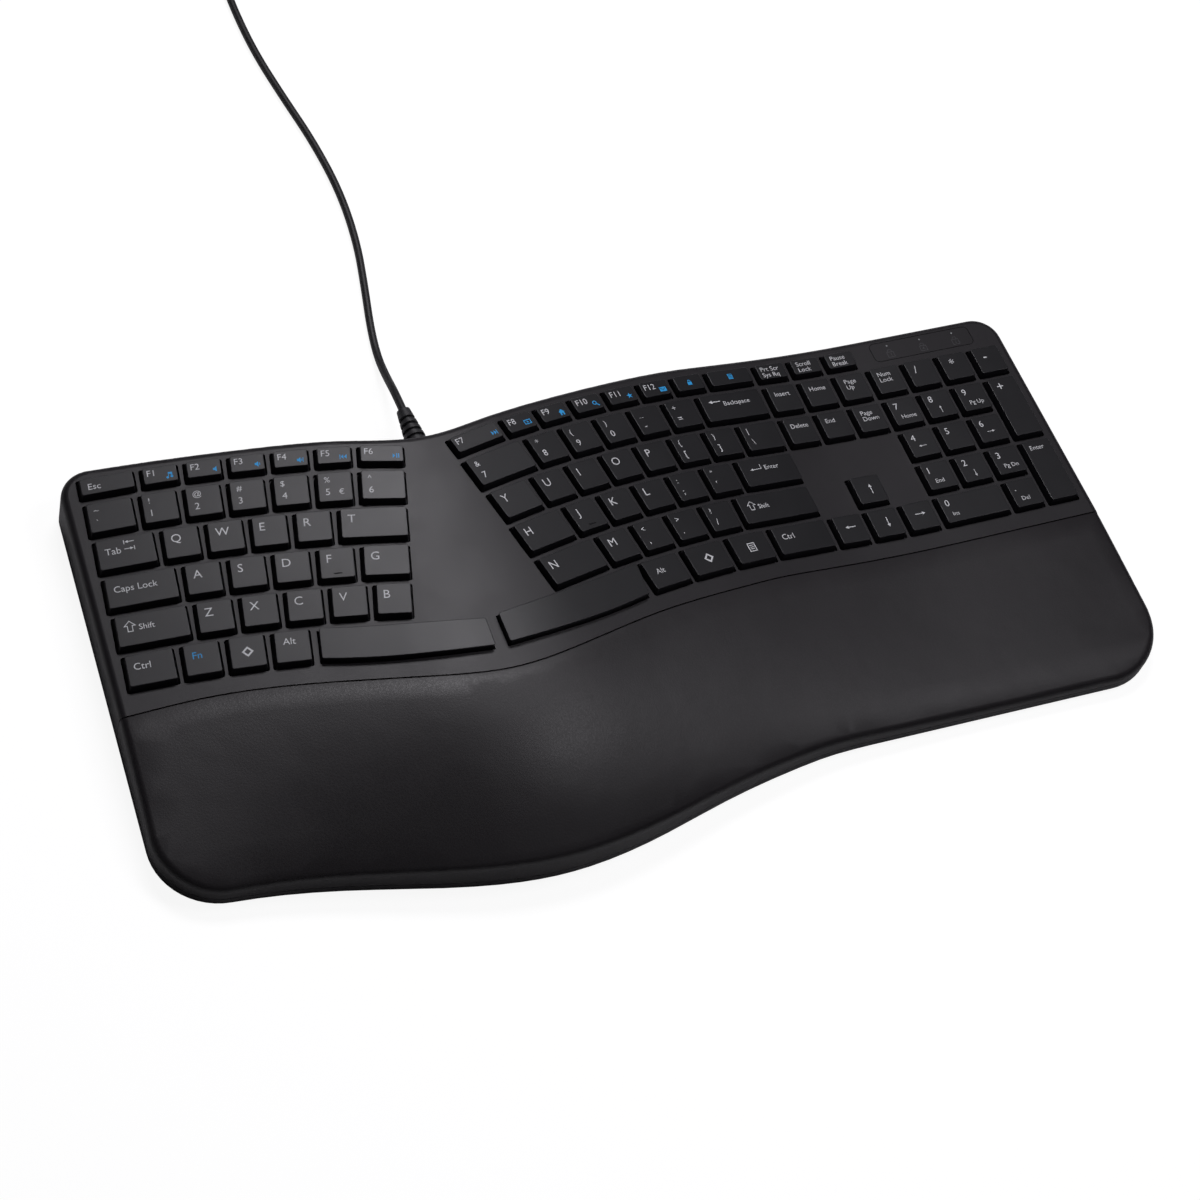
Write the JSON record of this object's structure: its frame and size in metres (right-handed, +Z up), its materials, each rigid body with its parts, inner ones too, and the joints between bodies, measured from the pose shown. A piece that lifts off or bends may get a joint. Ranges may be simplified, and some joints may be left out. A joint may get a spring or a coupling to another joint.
{
  "type": "split ergonomic keyboard",
  "caption": "Corded ergonomic keyboard: tented, curved key field split between the hands, number pad and cushioned wrist rest.",
  "frame": {"origin": "middle of the housing's footprint, on the surface the rubber feet stand on", "axes": "+X to the right along the number pad's rows, +Y towards the back edge and cable, +Z up"},
  "size_m": [0.4802, 0.5845, 0.0442],
  "materials": {
    "case_shell": "satin black ABS, fine spark texture",
    "key_plastic": "satin black, smooth tops",
    "rest_skin": "soft black leatherette over foam",
    "inner_plastic": "dark moulded plastic",
    "dome_rubber": "translucent silicone rubber",
    "membrane_film": "printed polyester film",
    "steel_plate": "zinc-plated sheet",
    "board_green": "coated circuit board",
    "smoked_window": "smoked acrylic",
    "lamp_resin": "clear lamp resin",
    "screw_steel": "zinc",
    "foot_rubber": "matt grey-black rubber",
    "cord_jacket": "satin black PVC jacket",
    "relief_rubber": "moulded black PVC",
    "plug_steel": "nickel-plated",
    "plug_insulator": "black nylon"
  },
  "bodies": {
    "housing": {"top_case": "case_shell", "bottom_case": "case_shell", "key_guide_frame": "inner_plastic", "dome_mat": "dome_rubber", "membrane_sheet": "membrane_film", "backing_plate": "steel_plate", "wrist_rest_cushion": "rest_skin", "wrist_rest_carrier": "inner_plastic", "case_screws": "screw_steel", "rubber_feet": "foot_rubber", "indicator_window": "smoked_window", "indicator_lamps": "lamp_resin", "controller_board": "board_green", "cable_strain_relief": "relief_rubber", "cable": "cord_jacket", "cable_coil": "cord_jacket", "cable_tie": "relief_rubber", "usb_plug_body": "relief_rubber", "usb_plug_shell": "plug_steel", "usb_plug_insulator": "plug_insulator"},
    "left_leg": {"tilt_leg_left": "case_shell"},
    "right_leg": {"tilt_leg_right": "case_shell"},
    "escape_key_body": {"escape_key": "key_plastic"},
    "tab_key_body": {"tab_key": "key_plastic"},
    "caps_lock_key_body": {"caps_lock_key": "key_plastic"},
    "shift_key_left_body": {"shift_key_left": "key_plastic"},
    "control_key_left_body": {"control_key_left": "key_plastic"},
    "space_bar_left_body": {"space_bar_left": "key_plastic"},
    "space_bar_right_body": {"space_bar_right": "key_plastic"},
    "backspace_key_body": {"backspace_key": "key_plastic"},
    "enter_key_body": {"enter_key": "key_plastic"},
    "shift_key_right_body": {"shift_key_right": "key_plastic"},
    "control_key_right_body": {"control_key_right": "key_plastic"},
    "numpad_plus_key_body": {"numpad_plus_key": "key_plastic"},
    "numpad_enter_key_body": {"numpad_enter_key": "key_plastic"},
    "numpad_zero_key_body": {"numpad_zero_key": "key_plastic"},
    "numpad_dot_key_body": {"numpad_dot_key": "key_plastic"},
    "function_keys_left_body": {"function_keys_left": "key_plastic"},
    "function_keys_right_body": {"function_keys_right": "key_plastic"},
    "hot_keys_body": {"hot_keys": "key_plastic"},
    "system_keys_body": {"system_keys": "key_plastic"},
    "number_keys_left_body": {"number_keys_left": "key_plastic"},
    "number_keys_right_body": {"number_keys_right": "key_plastic"},
    "upper_letters_left_body": {"upper_letters_left": "key_plastic"},
    "upper_letters_right_body": {"upper_letters_right": "key_plastic"},
    "home_letters_left_body": {"home_letters_left": "key_plastic"},
    "home_letters_right_body": {"home_letters_right": "key_plastic"},
    "lower_letters_left_body": {"lower_letters_left": "key_plastic"},
    "lower_letters_right_body": {"lower_letters_right": "key_plastic"},
    "modifier_keys_left_body": {"modifier_keys_left": "key_plastic"},
    "modifier_keys_right_body": {"modifier_keys_right": "key_plastic"},
    "navigation_keys_body": {"navigation_keys": "key_plastic"},
    "arrow_keys_body": {"arrow_keys": "key_plastic"},
    "numpad_top_row_body": {"numpad_top_row": "key_plastic"},
    "numpad_row_789_body": {"numpad_row_789": "key_plastic"},
    "numpad_row_456_body": {"numpad_row_456": "key_plastic"},
    "numpad_row_123_body": {"numpad_row_123": "key_plastic"}
  },
  "joints": [
    {"name": "right_leg_fold", "type": "hinge", "parent": "housing", "child": "right_leg", "pos_m": [0.192, 0.1035, 0.0032], "axis": [1, 0, 0], "range_deg": [0, 92]},
    {"name": "left_leg_fold", "type": "hinge", "parent": "housing", "child": "left_leg", "pos_m": [-0.184, 0.085, 0.0032], "axis": [1, 0, 0], "range_deg": [0, 92]},
    {"name": "escape_key_press", "type": "slide", "parent": "housing", "child": "escape_key_body", "axis": [0, 0, -1], "range_m": [0, 0.0024], "stiffness_N_per_m": 220, "springref_m": -0.0014, "deforming": ["dome_mat"]},
    {"name": "tab_key_press", "type": "slide", "parent": "housing", "child": "tab_key_body", "axis": [0, 0, -1], "range_m": [0, 0.0024], "stiffness_N_per_m": 220, "springref_m": -0.0014, "deforming": ["dome_mat"]},
    {"name": "caps_lock_key_press", "type": "slide", "parent": "housing", "child": "caps_lock_key_body", "axis": [0, 0, -1], "range_m": [0, 0.0024], "stiffness_N_per_m": 220, "springref_m": -0.0014, "deforming": ["dome_mat"]},
    {"name": "shift_key_left_press", "type": "slide", "parent": "housing", "child": "shift_key_left_body", "axis": [0, 0, -1], "range_m": [0, 0.0024], "stiffness_N_per_m": 220, "springref_m": -0.0014, "deforming": ["dome_mat"]},
    {"name": "control_key_left_press", "type": "slide", "parent": "housing", "child": "control_key_left_body", "axis": [0, 0, -1], "range_m": [0, 0.0024], "stiffness_N_per_m": 220, "springref_m": -0.0014, "deforming": ["dome_mat"]},
    {"name": "space_bar_left_press", "type": "slide", "parent": "housing", "child": "space_bar_left_body", "axis": [0, 0, -1], "range_m": [0, 0.0024], "stiffness_N_per_m": 220, "springref_m": -0.0014, "deforming": ["dome_mat"]},
    {"name": "space_bar_right_press", "type": "slide", "parent": "housing", "child": "space_bar_right_body", "axis": [0, 0, -1], "range_m": [0, 0.0024], "stiffness_N_per_m": 220, "springref_m": -0.0014, "deforming": ["dome_mat"]},
    {"name": "backspace_key_press", "type": "slide", "parent": "housing", "child": "backspace_key_body", "axis": [0, 0, -1], "range_m": [0, 0.0024], "stiffness_N_per_m": 220, "springref_m": -0.0014, "deforming": ["dome_mat"]},
    {"name": "enter_key_press", "type": "slide", "parent": "housing", "child": "enter_key_body", "axis": [0, 0, -1], "range_m": [0, 0.0024], "stiffness_N_per_m": 220, "springref_m": -0.0014, "deforming": ["dome_mat"]},
    {"name": "shift_key_right_press", "type": "slide", "parent": "housing", "child": "shift_key_right_body", "axis": [0, 0, -1], "range_m": [0, 0.0024], "stiffness_N_per_m": 220, "springref_m": -0.0014, "deforming": ["dome_mat"]},
    {"name": "control_key_right_press", "type": "slide", "parent": "housing", "child": "control_key_right_body", "axis": [0, 0, -1], "range_m": [0, 0.0024], "stiffness_N_per_m": 220, "springref_m": -0.0014, "deforming": ["dome_mat"]},
    {"name": "numpad_plus_key_press", "type": "slide", "parent": "housing", "child": "numpad_plus_key_body", "axis": [0, 0, -1], "range_m": [0, 0.0024], "stiffness_N_per_m": 220, "springref_m": -0.0014, "deforming": ["dome_mat"]},
    {"name": "numpad_enter_key_press", "type": "slide", "parent": "housing", "child": "numpad_enter_key_body", "axis": [0, 0, -1], "range_m": [0, 0.0024], "stiffness_N_per_m": 220, "springref_m": -0.0014, "deforming": ["dome_mat"]},
    {"name": "numpad_zero_key_press", "type": "slide", "parent": "housing", "child": "numpad_zero_key_body", "axis": [0, 0, -1], "range_m": [0, 0.0024], "stiffness_N_per_m": 220, "springref_m": -0.0014, "deforming": ["dome_mat"]},
    {"name": "numpad_dot_key_press", "type": "slide", "parent": "housing", "child": "numpad_dot_key_body", "axis": [0, 0, -1], "range_m": [0, 0.0024], "stiffness_N_per_m": 220, "springref_m": -0.0014, "deforming": ["dome_mat"]},
    {"name": "function_keys_left_press", "type": "slide", "parent": "housing", "child": "function_keys_left_body", "axis": [0, 0, -1], "range_m": [0, 0.0024], "stiffness_N_per_m": 1320, "springref_m": -0.0014, "deforming": ["dome_mat"]},
    {"name": "function_keys_right_press", "type": "slide", "parent": "housing", "child": "function_keys_right_body", "axis": [0, 0, -1], "range_m": [0, 0.0024], "stiffness_N_per_m": 1320, "springref_m": -0.0014, "deforming": ["dome_mat"]},
    {"name": "hot_keys_press", "type": "slide", "parent": "housing", "child": "hot_keys_body", "axis": [0, 0, -1], "range_m": [0, 0.0024], "stiffness_N_per_m": 440, "springref_m": -0.0014, "deforming": ["dome_mat"]},
    {"name": "system_keys_press", "type": "slide", "parent": "housing", "child": "system_keys_body", "axis": [0, 0, -1], "range_m": [0, 0.0024], "stiffness_N_per_m": 660, "springref_m": -0.0014, "deforming": ["dome_mat"]},
    {"name": "number_keys_left_press", "type": "slide", "parent": "housing", "child": "number_keys_left_body", "axis": [0, 0, -1], "range_m": [0, 0.0024], "stiffness_N_per_m": 1540, "springref_m": -0.0014, "deforming": ["dome_mat"]},
    {"name": "number_keys_right_press", "type": "slide", "parent": "housing", "child": "number_keys_right_body", "axis": [0, 0, -1], "range_m": [0, 0.0024], "stiffness_N_per_m": 1320, "springref_m": -0.0014, "deforming": ["dome_mat"]},
    {"name": "upper_letters_left_press", "type": "slide", "parent": "housing", "child": "upper_letters_left_body", "axis": [0, 0, -1], "range_m": [0, 0.0024], "stiffness_N_per_m": 1100, "springref_m": -0.0014, "deforming": ["dome_mat"]},
    {"name": "upper_letters_right_press", "type": "slide", "parent": "housing", "child": "upper_letters_right_body", "axis": [0, 0, -1], "range_m": [0, 0.0024], "stiffness_N_per_m": 1760, "springref_m": -0.0014, "deforming": ["dome_mat"]},
    {"name": "home_letters_left_press", "type": "slide", "parent": "housing", "child": "home_letters_left_body", "axis": [0, 0, -1], "range_m": [0, 0.0024], "stiffness_N_per_m": 1100, "springref_m": -0.0014, "deforming": ["dome_mat"]},
    {"name": "home_letters_right_press", "type": "slide", "parent": "housing", "child": "home_letters_right_body", "axis": [0, 0, -1], "range_m": [0, 0.0024], "stiffness_N_per_m": 1320, "springref_m": -0.0014, "deforming": ["dome_mat"]},
    {"name": "lower_letters_left_press", "type": "slide", "parent": "housing", "child": "lower_letters_left_body", "axis": [0, 0, -1], "range_m": [0, 0.0024], "stiffness_N_per_m": 1100, "springref_m": -0.0014, "deforming": ["dome_mat"]},
    {"name": "lower_letters_right_press", "type": "slide", "parent": "housing", "child": "lower_letters_right_body", "axis": [0, 0, -1], "range_m": [0, 0.0024], "stiffness_N_per_m": 1100, "springref_m": -0.0014, "deforming": ["dome_mat"]},
    {"name": "modifier_keys_left_press", "type": "slide", "parent": "housing", "child": "modifier_keys_left_body", "axis": [0, 0, -1], "range_m": [0, 0.0024], "stiffness_N_per_m": 660, "springref_m": -0.0014, "deforming": ["dome_mat"]},
    {"name": "modifier_keys_right_press", "type": "slide", "parent": "housing", "child": "modifier_keys_right_body", "axis": [0, 0, -1], "range_m": [0, 0.0024], "stiffness_N_per_m": 660, "springref_m": -0.0014, "deforming": ["dome_mat"]},
    {"name": "navigation_keys_press", "type": "slide", "parent": "housing", "child": "navigation_keys_body", "axis": [0, 0, -1], "range_m": [0, 0.0024], "stiffness_N_per_m": 1320, "springref_m": -0.0014, "deforming": ["dome_mat"]},
    {"name": "arrow_keys_press", "type": "slide", "parent": "housing", "child": "arrow_keys_body", "axis": [0, 0, -1], "range_m": [0, 0.0024], "stiffness_N_per_m": 880, "springref_m": -0.0014, "deforming": ["dome_mat"]},
    {"name": "numpad_top_row_press", "type": "slide", "parent": "housing", "child": "numpad_top_row_body", "axis": [0, 0, -1], "range_m": [0, 0.0024], "stiffness_N_per_m": 880, "springref_m": -0.0014, "deforming": ["dome_mat"]},
    {"name": "numpad_row_789_press", "type": "slide", "parent": "housing", "child": "numpad_row_789_body", "axis": [0, 0, -1], "range_m": [0, 0.0024], "stiffness_N_per_m": 660, "springref_m": -0.0014, "deforming": ["dome_mat"]},
    {"name": "numpad_row_456_press", "type": "slide", "parent": "housing", "child": "numpad_row_456_body", "axis": [0, 0, -1], "range_m": [0, 0.0024], "stiffness_N_per_m": 660, "springref_m": -0.0014, "deforming": ["dome_mat"]},
    {"name": "numpad_row_123_press", "type": "slide", "parent": "housing", "child": "numpad_row_123_body", "axis": [0, 0, -1], "range_m": [0, 0.0024], "stiffness_N_per_m": 660, "springref_m": -0.0014, "deforming": ["dome_mat"]}
  ]
}
